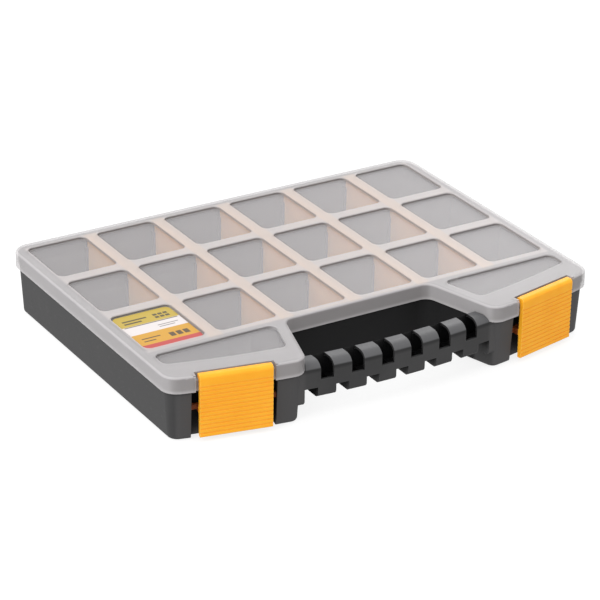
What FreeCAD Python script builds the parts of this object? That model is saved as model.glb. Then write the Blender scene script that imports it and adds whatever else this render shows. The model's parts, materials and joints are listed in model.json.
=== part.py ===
import FreeCAD, Part
import Sketcher
import math
import os
import re
from types import SimpleNamespace

# Hardware organizer case: a shallow compartment tray with a see-through hinged lid, two rocker latches,
# removable dividers and a carry handle across a notch in its bowed front.
# Frame: millimetres, +Z up, +X to the right, the bowed front towards -Y, the hinge towards +Y.
# The origin is on the tray's underside, half way between the hinge side and the crest of the front.

# How many of each repeated feature the case has
COLUMNS = 6
ROWS = 3
HANDLE_BLOCKS = 5
LATCH_GROOVES = 12
LEFT, RIGHT = -1, 1
SIDE_NAMES = {LEFT: "left", RIGHT: "right"}

# Driving sizes: name, value, what it measures
SIZES = [
    ("case_width", 330.0, "lid over its skirt, side to side"),
    ("case_depth", 253.0, "lid from its rear edge to the crest of the bowed front"),
    ("case_height", 47.4, "underside of the tray to the top of the lid"),
    ("bow_rise", 23.54, "crest of the front to the line between the lid's front corners"),
    ("corner_radius", 12.0, "plan radius of the lid's four corners"),
    ("notch_depth", 61.0, "crest of the front to the rear of the handle notch"),
    ("notch_back_width", 113.0, "handle notch across its rear"),
    ("notch_mouth_width", 149.0, "handle notch across its mouth"),
    ("notch_radius", 8.0, "plan radius of the notch's rear corners"),
    ("mouth_radius", 10.0, "plan radius of the notch's mouth corners"),
    ("overrun", 1.0, "how far a cut runs past the face it opens"),
    ("skirt_height", 11.8, "lid skirt, top to bottom"),
    ("lid_wall", 1.6, "wall of the lid"),
    ("lid_edge_radius", 2.2, "round along the lid's top edge"),
    ("rim_width", 8.5, "lid rim outside the windows, at the sides and rear"),
    ("notch_rim_width", 6.0, "lid rim between the windows and the handle notch"),
    ("front_rim_width", 21.0, "lid rim in front of the two corner windows"),
    ("rib_width", 9.0, "lid rib between two windows"),
    ("pane_drop", 2.0, "how far each pane lies below the ribs"),
    ("window_radius", 5.0, "corner radius of a window"),
    ("rib_edge_radius", 0.8, "round along the upper edge of a window"),
    ("base_top_inset", 2.0, "lid skirt's outside to the tray wall's outside, at the rim"),
    ("base_bottom_inset", 4.5, "lid skirt's outside to the tray wall's outside, at the underside"),
    ("base_wall", 2.0, "wall of the tray"),
    ("floor_thickness", 2.0, "floor of the tray"),
    ("base_edge_radius", 2.5, "round along the tray's underside"),
    ("rim_clearance", 0.2, "tray rim to the lid above it"),
    ("cross_wall", 2.0, "fixed wall between two rows"),
    ("divider_thickness", 1.8, "removable divider plate"),
    ("divider_end_clearance", 0.3, "divider end to the wall it faces"),
    ("divider_side_clearance", 0.15, "divider face to its guide"),
    ("divider_top_clearance", 0.6, "divider and cross wall tops to the lid rib above"),
    ("divider_corner_radius", 3.0, "round on a divider's top corners"),
    ("guide_width", 1.5, "divider guide, along the wall"),
    ("guide_depth", 2.0, "divider guide, out from the wall"),
    ("guide_drop", 7.8, "cross wall tops to the tops of the divider guides"),
    ("handle_inset", 4.5, "crest of the front to the handle's front face"),
    ("handle_depth", 15.0, "handle, front to rear"),
    ("handle_drop", 7.5, "top of the lid to the top of the handle"),
    ("handle_height", 25.5, "handle, top to bottom"),
    ("handle_end_drop", 4.0, "how far the handle's ends reach below the rest of it"),
    ("handle_wall", 1.8, "wall of the hollow handle"),
    ("handle_brow_drop", 4.6, "top of the handle to the brow along its front"),
    ("handle_brow_lean", 2.5, "how far the handle's crown leans back from the brow"),
    ("handle_brow_radius", 2.2, "round along the brow"),
    ("handle_crown_radius", 7.0, "round along the handle's crown"),
    ("handle_edge_radius", 3.5, "round along the handle's other edges"),
    ("handle_pitch", 22.5, "spacing of the handle's blocks"),
    ("slot_depth", 12.3, "top of the handle to the front edge under a slot"),
    ("slot_rear_wall", 1.4, "wall of the handle behind a slot"),
    ("undercut_height", 7.7, "bottom of the handle to the front edge over a notch"),
    ("latch_inset", 44.0, "side of the lid to the middle of a latch"),
    ("latch_width", 49.0, "latch plate, side to side"),
    ("latch_thickness", 3.2, "latch plate, front to rear"),
    ("latch_proud", 1.2, "latch front beyond the lid skirt"),
    ("latch_bottom", 3.3, "bottom of the latch above the underside"),
    ("latch_edge_radius", 0.8, "small rounds on the latch"),
    ("latch_crown_radius", 2.6, "round along the latch's front top edge"),
    ("latch_gap", 0.6, "latch to the lid pocket behind it and the ledge below its hook"),
    ("latch_side_gap", 2.2, "latch to the lid on each side"),
    ("hook_gap", 1.6, "latch hook to the lid behind it"),
    ("hook_grip", 2.0, "how far the latch hook reaches over the lid ledge"),
    ("hook_thickness", 3.6, "latch hook, top to bottom"),
    ("groove_height", 1.1, "a grip groove, top to bottom"),
    ("groove_depth", 0.3, "a grip groove, front to rear"),
    ("groove_start", 2.6, "bottom of the latch to its lowest groove"),
    ("groove_stop", 8.5, "top of the latch to the bottom of its highest groove"),
    ("skirt_gap", 0.5, "lid pocket to the tray recess around it, and lid skirt to the handle ends"),
    ("recess_depth", 11.0, "lid skirt's outside to the rear of a latch recess"),
    ("pivot_drop", 25.5, "top of the lid to the latch trunnions"),
    ("pivot_setback", 8.0, "lid skirt's outside to the latch trunnions"),
    ("trunnion_radius", 2.2, "latch trunnion"),
    ("trunnion_grip", 3.0, "length of a trunnion inside its socket"),
    ("running_clearance", 0.05, "radial clearance of a pin in its hole"),
    ("socket_wall", 2.0, "wall around a trunnion socket"),
    ("lug_width", 3.0, "latch lug that carries a trunnion"),
    ("hinge_inset", 65.0, "side of the lid to the middle of a hinge"),
    ("hinge_drop", 11.0, "top of the lid to the hinge axis"),
    ("hinge_setback", 1.5, "hinge axis behind the lid's rear edge"),
    ("knuckle_radius", 3.6, "lid knuckles and tray ears"),
    ("knuckle_length", 26.0, "lid knuckle, side to side"),
    ("ear_width", 7.0, "tray ear, side to side"),
    ("hinge_side_gap", 0.4, "lid to tray ear, on each side"),
    ("hinge_pin_radius", 2.0, "moulded hinge pin"),
    ("label_thickness", 0.25, "printed label"),
    ("label_margin", 1.0, "label edge to the window around it"),
]

# Sizes that follow from the driving ones
DERIVED = [
    ("half_width", "case_width / 2"),
    ("rear_edge", "case_depth / 2"),
    ("bow_crest", "-case_depth / 2"),
    ("bow_radius", "(half_width * half_width + bow_rise * bow_rise) / bow_rise / 2"),
    ("bow_centre", "bow_crest + bow_radius"),
    ("notch_edge", "bow_crest + notch_depth"),
    ("column_pitch", f"(case_width - 2 * rim_width + rib_width) / {COLUMNS}"),
    ("window_width", "column_pitch - rib_width"),
    ("row_pitch", f"(case_depth - notch_depth - rim_width - notch_rim_width + rib_width) / {ROWS}"),
    ("window_length", "row_pitch - rib_width"),
    ("first_wall", "rear_edge - rim_width - row_pitch + rib_width / 2"),
    ("rib_underside", "case_height - lid_wall"),
    ("base_top", "rib_underside - rim_clearance"),
    ("wall_top", "rib_underside - divider_top_clearance"),
    ("divider_height", "wall_top - floor_thickness"),
    ("skirt_bottom", "case_height - skirt_height"),
    ("pane_top", "case_height - pane_drop"),
    ("rear_face", "rear_edge - base_bottom_inset - base_wall"),
    ("notch_face", "notch_edge + base_bottom_inset + base_wall"),
    ("wing_wall_rear", "notch_edge + base_top_inset + base_wall"),
    ("guide_height", "wall_top - guide_drop"),
    ("guide_root", "base_bottom_inset - base_top_inset + base_wall"),
    ("handle_front", "bow_crest + handle_inset"),
    ("handle_rear", "handle_front + handle_depth"),
    ("handle_top", "case_height - handle_drop"),
    ("handle_bottom", "handle_top - handle_height"),
    ("slot_floor", "handle_top - slot_depth"),
    ("slot_ceiling", "handle_bottom + undercut_height"),
    ("slot_width", "handle_pitch / 2 - handle_wall"),
    ("lining_width", "slot_width + 2 * handle_wall"),
    ("handle_half_length", "notch_mouth_width / 2 + base_bottom_inset + base_wall"),
    ("latch_offset", "half_width - latch_inset"),
    ("pivot_height", "case_height - pivot_drop"),
    ("groove_rise", "case_height - groove_stop - latch_bottom - groove_start"),
    ("groove_pitch", f"groove_rise / {LATCH_GROOVES - 1}"),
    ("pocket_half_width", "latch_width / 2 + latch_side_gap"),
    ("housing_half_width", "pocket_half_width + lid_wall"),
    ("housing_front", "housing_half_width * housing_half_width / bow_radius / 2 + lid_wall / 4"),
    ("recess_half_width", "housing_half_width + skirt_gap"),
    ("plate_rear", "latch_thickness - latch_proud"),
    ("ledge_front", "plate_rear + latch_gap"),
    ("ledge_rear", "ledge_front + hook_grip + hook_gap"),
    ("hook_bottom", "case_height - hook_thickness"),
    ("ledge_top", "hook_bottom - latch_gap"),
    ("trunnion_half_length", "recess_half_width + trunnion_grip"),
    ("bore_half_length", "trunnion_half_length + skirt_gap"),
    ("socket_half_length", "bore_half_length + base_wall"),
    ("socket_radius", "trunnion_radius + socket_wall"),
    ("hinge_offset", "half_width - hinge_inset"),
    ("hinge_height", "case_height - hinge_drop"),
    ("hinge_axis", "rear_edge + hinge_setback"),
    ("ear_start", "knuckle_length / 2 + hinge_side_gap"),
    ("pin_half_length", "ear_start + ear_width"),
]


def row_name(row):
    """Name of a row of compartments, counted from the rear."""
    return "row_" + chr(ord("a") + row)


# Front and rear faces of the compartments in each row
for row in range(ROWS):
    front = "notch_face" if row == ROWS - 1 else f"first_wall - {row} * row_pitch + cross_wall / 2"
    rear = "rear_face" if row == 0 else f"first_wall - {row - 1} * row_pitch - cross_wall / 2"
    DERIVED += [(row_name(row) + "_front", front), (row_name(row) + "_rear", rear)]

doc = FreeCAD.newDocument("organizer_case")


def fill_sheet(name, rows):
    """A sheet with one named value to a row."""
    sheet = doc.addObject("Spreadsheet::Sheet", name)
    for number, (alias, content, note) in enumerate(rows, 1):
        sheet.set(f"A{number}", note)
        sheet.set(f"B{number}", str(content))
        sheet.setAlias(f"B{number}", alias)
    return sheet


SHEET_OF = {alias: "sizes" for alias, _, _ in SIZES}
SHEET_OF.update({alias: "derived" for alias, _ in DERIVED})


def formula(text):
    """The text of a sum of named sizes, with each name's sheet put before it."""
    return re.sub(r"[a-z][a-z_]+", lambda word: f"{SHEET_OF[word.group()]}.{word.group()}", text)


sizes_sheet = fill_sheet("sizes", SIZES)
derived_sheet = fill_sheet("derived", [(alias, "=" + formula(text), text) for alias, text in DERIVED])
doc.recompute()
size = SimpleNamespace(
    **{alias: sizes_sheet.get(alias) for alias, _, _ in SIZES},
    **{alias: derived_sheet.get(alias) for alias, _ in DERIVED},
)


def bind(item, **sums):
    """Bind properties of an object to sums of named sizes; two underscores stand for a dot."""
    for path, text in sums.items():
        item.setExpression(path.replace("__", "."), formula(text))
    return item


def at(x, y, z, turn=0):
    """A placement at a point, turned about the upright axis."""
    return FreeCAD.Placement(FreeCAD.Vector(x, y, z), FreeCAD.Rotation(FreeCAD.Vector(0, 0, 1), turn))


HOME = at(0, 0, 0)

# How far apart two heights may be and still count as level
LEVEL_TOLERANCE = Part.Vertex(0, 0, 0).Tolerance

# Turns a flat outline drawn in X and Y to stand in Y and Z, and a cylinder to lie along X
SIDE_ON = FreeCAD.Rotation(FreeCAD.Vector(1, 1, 1), 120)


# Flat outlines: sides walked with the material on their left, joined by tangent rounds

def straight_side(start, end, inset=0):
    """A straight side through two points, drawn in by inset."""
    along = FreeCAD.Vector(end.x - start.x, end.y - start.y, 0).normalize()
    inward = FreeCAD.Vector(-along.y, along.x, 0)
    return SimpleNamespace(point=start + inward * inset, along=along, inward=inward, centre=None)


def bowed_side(inset=0):
    """The bowed front, drawn in by inset."""
    return SimpleNamespace(centre=FreeCAD.Vector(0, size.bow_centre, 0), radius=size.bow_radius - inset)


def round_centre(before, after, radius):
    """Centre of the round between two sides; a negative radius rounds a hollow corner."""
    if after.centre is not None:
        before, after = after, before
    start = after.point + after.inward * radius
    if before.centre is not None:
        offset = start - before.centre
        reach = before.radius - radius
        middle = -offset.dot(after.along)
        half = math.sqrt(middle * middle - offset.dot(offset) + reach * reach)
        ends = [start + after.along * (middle + half), start + after.along * (middle - half)]
        return min(ends, key=lambda point: point.y)
    other = before.point + before.inward * radius
    across = after.along.cross(before.along).z
    return start + after.along * ((other - start).cross(before.along).z / across)


def touching_point(side, centre, radius):
    """Where a round meets a side."""
    if side.centre is not None:
        return side.centre + (centre - side.centre).normalize() * side.radius
    return centre - side.inward * radius


def arc(start, end, centre):
    """The shorter arc between two points about a centre."""
    radius = (start - centre).Length
    middle = centre + ((start + end) * 0.5 - centre).normalize() * radius
    return Part.Arc(start, middle, end).toShape()


def outline(sides, radii):
    """Closed wire along the sides, with the corner after each side rounded by its radius."""
    centres = [round_centre(side, sides[(number + 1) % len(sides)], radii[number])
               for number, side in enumerate(sides)]
    edges = []
    for number, side in enumerate(sides):
        start = touching_point(side, centres[number - 1], radii[number - 1])
        end = touching_point(side, centres[number], radii[number])
        following = sides[(number + 1) % len(sides)]
        next_start = touching_point(following, centres[number], radii[number])
        if side.centre is not None:
            edges.append(arc(start, end, side.centre))
        else:
            edges.append(Part.LineSegment(start, end).toShape())
        edges.append(arc(end, next_start, centres[number]))
    return Part.Wire(edges)


def rounded_polygon(points, radii, inset=0):
    """Closed wire through points given anticlockwise, with rounded corners, drawn in by inset."""
    corners = [FreeCAD.Vector(x, y, 0) for x, y in points]
    sides = [straight_side(corners[number - 1], corner, inset) for number, corner in enumerate(corners)]
    return outline(sides, [radius - inset for radius in radii])


def rounded_rectangle(low_x, low_y, high_x, high_y, radius):
    """Closed wire round a rectangle with equal corner rounds."""
    points = [(low_x, low_y), (high_x, low_y), (high_x, high_y), (low_x, high_y)]
    return rounded_polygon(points, [radius] * len(points))


def cheek(side, inset):
    """The slanted side of the handle notch on the left or right, drawn in by inset."""
    rear = FreeCAD.Vector(side * size.notch_back_width / 2, size.notch_edge, 0)
    mouth = FreeCAD.Vector(side * size.notch_mouth_width / 2, size.bow_crest, 0)
    if side == LEFT:
        return straight_side(mouth, rear, inset)
    return straight_side(rear, mouth, inset)


def case_outline(inset):
    """Plan outline of the case, drawn in by inset all round."""
    x, y = size.half_width, size.rear_edge
    rear_left, rear_right = FreeCAD.Vector(-x, y, 0), FreeCAD.Vector(x, y, 0)
    front_left, front_right = FreeCAD.Vector(-x, -y, 0), FreeCAD.Vector(x, -y, 0)
    notch_left = FreeCAD.Vector(-x, size.notch_edge, 0)
    notch_right = FreeCAD.Vector(x, size.notch_edge, 0)
    sides = [
        straight_side(rear_right, rear_left, inset),
        straight_side(rear_left, front_left, inset),
        bowed_side(inset),
        cheek(LEFT, inset),
        straight_side(notch_left, notch_right, inset),
        cheek(RIGHT, inset),
        bowed_side(inset),
        straight_side(front_right, rear_right, inset),
    ]
    corner, mouth = size.corner_radius - inset, size.mouth_radius - inset
    hollow = -size.notch_radius - inset
    return outline(sides, [corner, corner, mouth, hollow, hollow, mouth, corner, corner])


def window_outline(column, row, grow):
    """Outline of the window in a column and row, counted from the rear left, grown all round."""
    low_x = -size.half_width + size.rim_width + column * size.column_pitch - grow
    high_y = size.rear_edge - size.rim_width - row * size.row_pitch + grow
    high_x = low_x + size.window_width + 2 * grow
    low_y = high_y - size.window_length - 2 * grow
    return rounded_rectangle(low_x, low_y, high_x, high_y, size.window_radius + grow)


def corner_window_outline(side, grow):
    """Outline of the window in the left or right front corner, grown all round."""
    rear = size.notch_edge + size.notch_rim_width - size.rib_width
    near = FreeCAD.Vector(side * size.half_width, rear, 0)
    far = FreeCAD.Vector(0, rear, 0)
    front = FreeCAD.Vector(side * size.half_width, size.bow_crest, 0)
    bow = bowed_side(size.front_rim_width - grow)
    inner = cheek(side, size.rim_width - grow)
    outer_inset = size.rim_width - grow
    if side == LEFT:
        sides = [straight_side(far, near, -grow), straight_side(near, front, outer_inset), bow, inner]
    else:
        sides = [straight_side(near, far, -grow), inner, bow, straight_side(front, near, outer_inset)]
    return outline(sides, [size.window_radius + grow] * len(sides))


# Building blocks of the document

def flat(name, wires, height):
    """Flat faces inside the wires, at a height."""
    item = doc.addObject("Part::Feature", name)
    item.Shape = Part.makeCompound([Part.Face(wire) for wire in wires])
    return bind(item, Placement__Base__z=height)


def ring(name, wire, height):
    """A wire at a height, as a section of a loft."""
    item = doc.addObject("Part::Feature", name)
    item.Shape = wire
    return bind(item, Placement__Base__z=height)


def raised(name, faces, height):
    """Faces pulled straight up."""
    item = doc.addObject("Part::Extrusion", name)
    item.Base = faces
    item.DirMode = "Custom"
    item.Dir = FreeCAD.Vector(0, 0, 1)
    item.Solid = True
    return bind(item, LengthFwd=height)


def lofted(name, low, high):
    """A solid with straight sides between two rings."""
    item = doc.addObject("Part::Loft", name)
    item.Sections = [low, high]
    item.Solid = True
    item.Ruled = True
    return item


def block(name, frame, corner, length, width, height):
    """A block with its low corner at a point of a frame."""
    item = doc.addObject("Part::Box", name)
    item.Placement = frame * at(*corner)
    return bind(item, Length=length, Width=width, Height=height)


def rod(name, frame, start, radius, length):
    """A rod along X from a point of a frame."""
    item = doc.addObject("Part::Cylinder", name)
    item.Placement = frame * FreeCAD.Placement(FreeCAD.Vector(*start), SIDE_ON)
    return bind(item, Radius=radius, Height=length)


def joined(name, items):
    """Several objects made one."""
    item = doc.addObject("Part::MultiFuse", name)
    item.Shapes = items
    return item


def cut(name, base, tool):
    """One object with another taken out of it."""
    item = doc.addObject("Part::Cut", name)
    item.Base = base
    item.Tool = tool
    return item


def shared(name, base, tool):
    """What two objects have in common."""
    item = doc.addObject("Part::Common", name)
    item.Base = base
    item.Tool = tool
    return item


def rounded(name, base, height, radius, region=None):
    """The level edges of an object at a height, rounded, or only those over a region of the plan."""
    doc.recompute()
    item = doc.addObject("Part::Fillet", name)
    item.Base = base

    def chosen(edge):
        if not all(math.isclose(vertex.Z, height, abs_tol=LEVEL_TOLERANCE) for vertex in edge.Vertexes):
            return False
        spot = FreeCAD.Vector(edge.CenterOfMass.x, edge.CenterOfMass.y, 0)
        return region is None or region.isInside(spot, LEVEL_TOLERANCE, True)

    numbers = [number for number, edge in enumerate(base.Shape.Edges, 1) if chosen(edge)]
    item.Edges = [(number, radius, radius) for number in numbers]
    return item


def wing_frame(side):
    """Frame of a latch: X along the bowed front, -Y out of it, at the lid skirt's outside."""
    turn = math.asin(side * size.latch_offset / size.bow_radius)
    x = size.bow_radius * math.sin(turn)
    y = size.bow_centre - size.bow_radius * math.cos(turn)
    return at(x, y, 0, math.degrees(turn))


# Carry handle: a hollow bar along the bow, opened by slots from above and by notches from below

def swept_along_bow(name, section):
    """A section of the handle, drawn in Y and Z, swept along the bow."""
    face = doc.addObject("Part::Feature", name + "_section")
    face.Shape = Part.Face(section)
    face.Placement = FreeCAD.Placement(FreeCAD.Vector(), SIDE_ON)
    bar = doc.addObject("Part::Revolution", name)
    bar.Source = face
    bar.Axis = FreeCAD.Vector(0, 0, 1)
    bar.Symmetric = True
    bar.Solid = True
    bar.setExpression("Angle", "2 * asin(" + formula("handle_half_length / bow_radius") + ")")
    return bind(bar, Base__y="bow_centre")


def handle_bar(name, inset, drop):
    """The handle's rounded bar, drawn in by inset, with its bottom dropped."""
    front, rear = size.handle_front, size.handle_rear
    low, high = size.handle_bottom - drop, size.handle_top
    corners = [(front, low), (rear, low), (rear, high),
               (front + size.handle_brow_lean, high), (front, high - size.handle_brow_drop)]
    edge = size.handle_edge_radius
    radii = [edge, edge, edge, size.handle_crown_radius, size.handle_brow_radius]
    return swept_along_bow(name, rounded_polygon(corners, radii, inset))


def slot_reach():
    """The handle in front of the wall that is left behind the slots."""
    front, rear = size.handle_front - size.overrun, size.handle_rear - size.slot_rear_wall
    low, high = size.slot_floor, size.handle_top + size.overrun
    corners = [(front, low), (rear, low), (rear, high), (front, high), (front, low)]
    section = Part.makePolygon([FreeCAD.Vector(y, z, 0) for y, z in corners])
    return swept_along_bow("handle_slot_reach", section)


def handle_columns(name, places, width, low, height):
    """Blocks across the handle at places along it, counted in half pitches from the middle."""
    return [
        block(f"{name}_{number}", HOME,
              (place * size.handle_pitch / 2 - getattr(size, width) / 2,
               size.handle_front - size.overrun, low),
              width, "handle_inset + handle_depth + 2 * overrun", height)
        for number, place in enumerate(places, 1)
    ]


def handle_ends():
    """The handle's deeper ends, where it meets the tray."""
    bar = handle_bar("handle_deep_bar", 0, size.handle_end_drop)
    start = HANDLE_BLOCKS + 1
    inner = start * size.handle_pitch / 2 + size.slot_width / 2
    low = size.handle_bottom - size.handle_end_drop - size.overrun
    front = size.handle_front - size.overrun
    blocks = [
        block(f"handle_end_{SIDE_NAMES[side]}", HOME, (left, front, low),
              "notch_mouth_width", "2 * handle_depth", "handle_top")
        for side, left in ((LEFT, -inner - size.notch_mouth_width), (RIGHT, inner))
    ]
    return shared("handle_ends", bar, joined("handle_end_blocks", blocks))


def carry_handle():
    """The handle as one hollow, meandering bar, whose ends pass below the lid skirt."""
    last = HANDLE_BLOCKS + 1
    every = range(-last, last + 1)
    slots = [place for place in every if (place + last) % 2]
    notches = [place for place in every if (place + last) % 2 == 0]
    bar = joined("handle_solid", [handle_bar("handle_bar", 0, 0), handle_ends()])
    low = size.handle_bottom - size.handle_end_drop - size.overrun
    columns = handle_columns("handle_slot", slots, "slot_width", size.slot_floor - size.overrun,
                             "handle_top")
    from_above = shared("handle_slots", joined("handle_slot_columns", columns), slot_reach())
    from_below = handle_columns("handle_notch", notches, "slot_width", low,
                                "slot_ceiling - handle_bottom + handle_end_drop + overrun")
    linings = handle_columns("handle_lining", notches, "lining_width", low,
                             "slot_ceiling + handle_wall - handle_bottom + handle_end_drop + overrun")
    left = -last * size.handle_pitch / 2 - size.slot_width / 2
    span = block("handle_hollow_span", HOME, (left, size.handle_front - size.overrun, low),
                 f"{last} * handle_pitch + slot_width", "handle_inset + handle_depth + 2 * overrun",
                 "handle_top + handle_end_drop")
    core = shared("handle_core_span", handle_bar("handle_core", size.handle_wall, 0), span)
    hollow = cut("handle_hollow", core, joined("handle_linings", linings))
    open_bar = cut("handle_open_bar", bar, joined("handle_openings", [from_above, hollow] + from_below))
    skirt_plan = flat("skirt_room_plan", [case_outline(-size.skirt_gap)], "skirt_bottom - skirt_gap")
    return cut("carry_handle", open_bar, raised("skirt_room", skirt_plan, "skirt_height"))


# Tray

def wall_inset(height):
    """How far the tray's outside lies inside the lid's outline, at a height."""
    draft = size.base_bottom_inset - size.base_top_inset
    return size.base_bottom_inset - draft * height / size.base_top


def row_span(row):
    """Front and rear faces of the compartments in a row."""
    return getattr(size, row_name(row) + "_front"), getattr(size, row_name(row) + "_rear")


def divider_place(column):
    """How far right of the centre line the dividers after a column stand, as a sum of named sizes."""
    return f"{column - (COLUMNS - 2) / 2} * column_pitch"


def cross_walls():
    """The fixed walls between the rows, and the one in line with the rear of the handle notch."""
    fronts = [size.first_wall - row * size.row_pitch - size.cross_wall / 2 for row in range(ROWS - 1)]
    fronts.append(size.wing_wall_rear - size.cross_wall)
    return [
        block(f"cross_wall_{number}", HOME, (-size.half_width, front, 0),
              "case_width", "cross_wall", "wall_top")
        for number, front in enumerate(fronts, 1)
    ]


def divider_guides():
    """Two ribs on the wall at each end of each divider."""
    guides = []
    slack = size.divider_thickness / 2 + size.divider_side_clearance
    for row in range(ROWS):
        front, rear = row_span(row)
        front_root = "guide_root" if row == ROWS - 1 else "cross_wall"
        rear_root = "guide_root" if row == 0 else "cross_wall"
        ends = [(front - getattr(size, front_root), front_root), (rear - size.guide_depth, rear_root)]
        for column in range(COLUMNS - 1):
            middle = (column - (COLUMNS - 2) / 2) * size.column_pitch
            for left in (middle - slack - size.guide_width, middle + slack):
                for low, root in ends:
                    name = f"guide_{len(guides) + 1}"
                    guides.append(block(name, HOME, (left, low, 0),
                                        "guide_width", f"guide_depth + {root}", "guide_height"))
    return guides


def latch_recess(side):
    """Room for a latch in the tray's front, open at the front, top and bottom."""
    corner = (-size.recess_half_width, -size.overrun, -size.overrun)
    return block(f"recess_{SIDE_NAMES[side]}", wing_frame(side), corner,
                 "2 * recess_half_width", "recess_depth + overrun", "base_top + 2 * overrun")


def recess_walls(side):
    """What the tray keeps around a latch recess: its walls and the sockets for the trunnions."""
    frame = wing_frame(side)
    corner = (-size.recess_half_width - size.base_wall, -size.overrun, 0)
    walls = block(f"recess_walls_{SIDE_NAMES[side]}", frame, corner,
                  "2 * recess_half_width + 2 * base_wall",
                  "recess_depth + base_wall + overrun", "base_top + 2 * overrun")
    middle = (-size.socket_half_length, size.pivot_setback, size.pivot_height)
    socket = rod(f"sockets_{SIDE_NAMES[side]}", frame, middle, "socket_radius", "2 * socket_half_length")
    return [walls, socket]


def trunnion_bore(side):
    """The hole for a latch's trunnions, through both cheeks of its recess."""
    start = (-size.bore_half_length, size.pivot_setback, size.pivot_height)
    return rod(f"trunnion_bore_{SIDE_NAMES[side]}", wing_frame(side), start,
               "trunnion_radius + running_clearance", "2 * bore_half_length")


def ear_places():
    """Left faces of the tray's hinge ears."""
    for side in (LEFT, RIGHT):
        middle = side * size.hinge_offset
        yield middle - size.ear_start - size.ear_width
        yield middle + size.ear_start


def hinge_ears():
    """Round-ended ears on the tray's rear wall, two at each hinge."""
    ears = []
    for number, left in enumerate(ear_places(), 1):
        low = size.hinge_height - size.knuckle_radius
        ears.append(block(f"ear_arm_{number}", HOME, (left, size.rear_face, low), "ear_width",
                          "hinge_axis - rear_face", "2 * knuckle_radius"))
        ears.append(rod(f"ear_end_{number}", HOME, (left, size.hinge_axis, size.hinge_height),
                        "knuckle_radius", "ear_width"))
    return ears


def hinge_bores():
    """The holes for the lid's hinge pins."""
    return [
        rod(f"hinge_bore_{number}", HOME, (left - size.overrun, size.hinge_axis, size.hinge_height),
            "hinge_pin_radius + running_clearance", "ear_width + 2 * overrun")
        for number, left in enumerate(ear_places(), 1)
    ]


def base_tray():
    """The tray: drafted walls, floor, cross walls, guides, latch recesses, hinge ears and handle."""
    low_ring = ring("tray_low_ring", case_outline(size.base_bottom_inset), "0")
    high_ring = ring("tray_high_ring", case_outline(size.base_top_inset), "base_top")
    block_out = rounded("tray_rounded", lofted("tray_block", low_ring, high_ring), 0, size.base_edge_radius)
    recesses = joined("latch_recesses", [latch_recess(LEFT), latch_recess(RIGHT)])
    notched = cut("tray_notched", block_out, recesses)
    solid = joined("tray_solid", [notched, carry_handle()] + hinge_ears())
    reach = size.base_top + size.overrun
    floor_inset = wall_inset(size.floor_thickness) + size.base_wall
    mouth_inset = wall_inset(reach) + size.base_wall
    floor_ring = ring("floor_ring", case_outline(floor_inset), "floor_thickness")
    mouth_ring = ring("mouth_ring", case_outline(mouth_inset), "base_top + overrun")
    kept = recess_walls(LEFT) + recess_walls(RIGHT) + cross_walls() + divider_guides()
    hollow = cut("tray_hollow", lofted("tray_space", floor_ring, mouth_ring), joined("tray_kept", kept))
    shell = cut("tray_shell", solid, hollow)
    bores = hinge_bores() + [trunnion_bore(LEFT), trunnion_bore(RIGHT)]
    return cut("base_tray", shell, joined("tray_bores", bores))


# Lid

def pane_blocks():
    """The sunken panes with the walls around them, before the windows are opened from above."""
    wires = [window_outline(column, row, size.lid_wall) for row in range(ROWS) for column in range(COLUMNS)]
    wires += [corner_window_outline(side, size.lid_wall) for side in (LEFT, RIGHT)]
    return raised("pane_blocks", flat("pane_faces", wires, "pane_top - lid_wall"), "pane_drop")


def window_openings():
    """The room above the panes."""
    wires = [window_outline(column, row, 0) for row in range(ROWS) for column in range(COLUMNS)]
    wires += [corner_window_outline(side, 0) for side in (LEFT, RIGHT)]
    return raised("window_openings", flat("window_faces", wires, "pane_top"), "pane_drop + overrun")


def latch_housing(side):
    """Walls that the lid has around a latch pocket: a recessed skirt and a ledge for the hook."""
    frame = wing_frame(side)
    x, front = -size.housing_half_width, size.housing_front
    lower = block(f"recessed_skirt_{SIDE_NAMES[side]}", frame, (x, front, size.skirt_bottom),
                  "2 * housing_half_width", "ledge_front + lid_wall - housing_front",
                  "ledge_top - skirt_bottom")
    upper = block(f"hook_ledge_{SIDE_NAMES[side]}", frame, (x, front, size.ledge_top - size.lid_wall),
                  "2 * housing_half_width", "ledge_rear + lid_wall - housing_front",
                  "rib_underside - ledge_top + 2 * lid_wall")
    return [lower, upper]


def latch_pocket(side):
    """The room that the lid leaves for a latch, wider front to rear above the ledge."""
    frame = wing_frame(side)
    x, front = -size.pocket_half_width, -size.overrun
    lower = block(f"plate_room_{SIDE_NAMES[side]}", frame, (x, front, size.skirt_bottom - size.overrun),
                  "2 * pocket_half_width", "ledge_front + overrun", "skirt_height + 2 * overrun")
    upper = block(f"hook_room_{SIDE_NAMES[side]}", frame, (x, front, size.ledge_top),
                  "2 * pocket_half_width", "ledge_rear + overrun", "case_height - ledge_top + overrun")
    return [lower, upper]


def ear_clearances():
    """Openings in the rear skirt around the tray's hinge ears."""
    return [
        block(f"ear_room_{number}", HOME,
              (left - size.hinge_side_gap, size.rear_edge - size.lid_wall - size.overrun,
               size.skirt_bottom - size.overrun),
              "ear_width + 2 * hinge_side_gap", "lid_wall + 2 * overrun",
              "hinge_height + knuckle_radius + hinge_side_gap - skirt_bottom + overrun")
        for number, left in enumerate(ear_places(), 1)
    ]


def hinge_knuckles():
    """The lid's knuckles, each with a moulded pin out of both ends."""
    rods = []
    for side in (LEFT, RIGHT):
        middle = side * size.hinge_offset
        for name, half, radius, length in (
            ("knuckle", size.knuckle_length / 2, "knuckle_radius", "knuckle_length"),
            ("hinge_pin", size.pin_half_length, "hinge_pin_radius", "2 * pin_half_length"),
        ):
            start = (middle - half, size.hinge_axis, size.hinge_height)
            rods.append(rod(f"{name}_{SIDE_NAMES[side]}", HOME, start, radius, length))
    return rods


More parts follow.
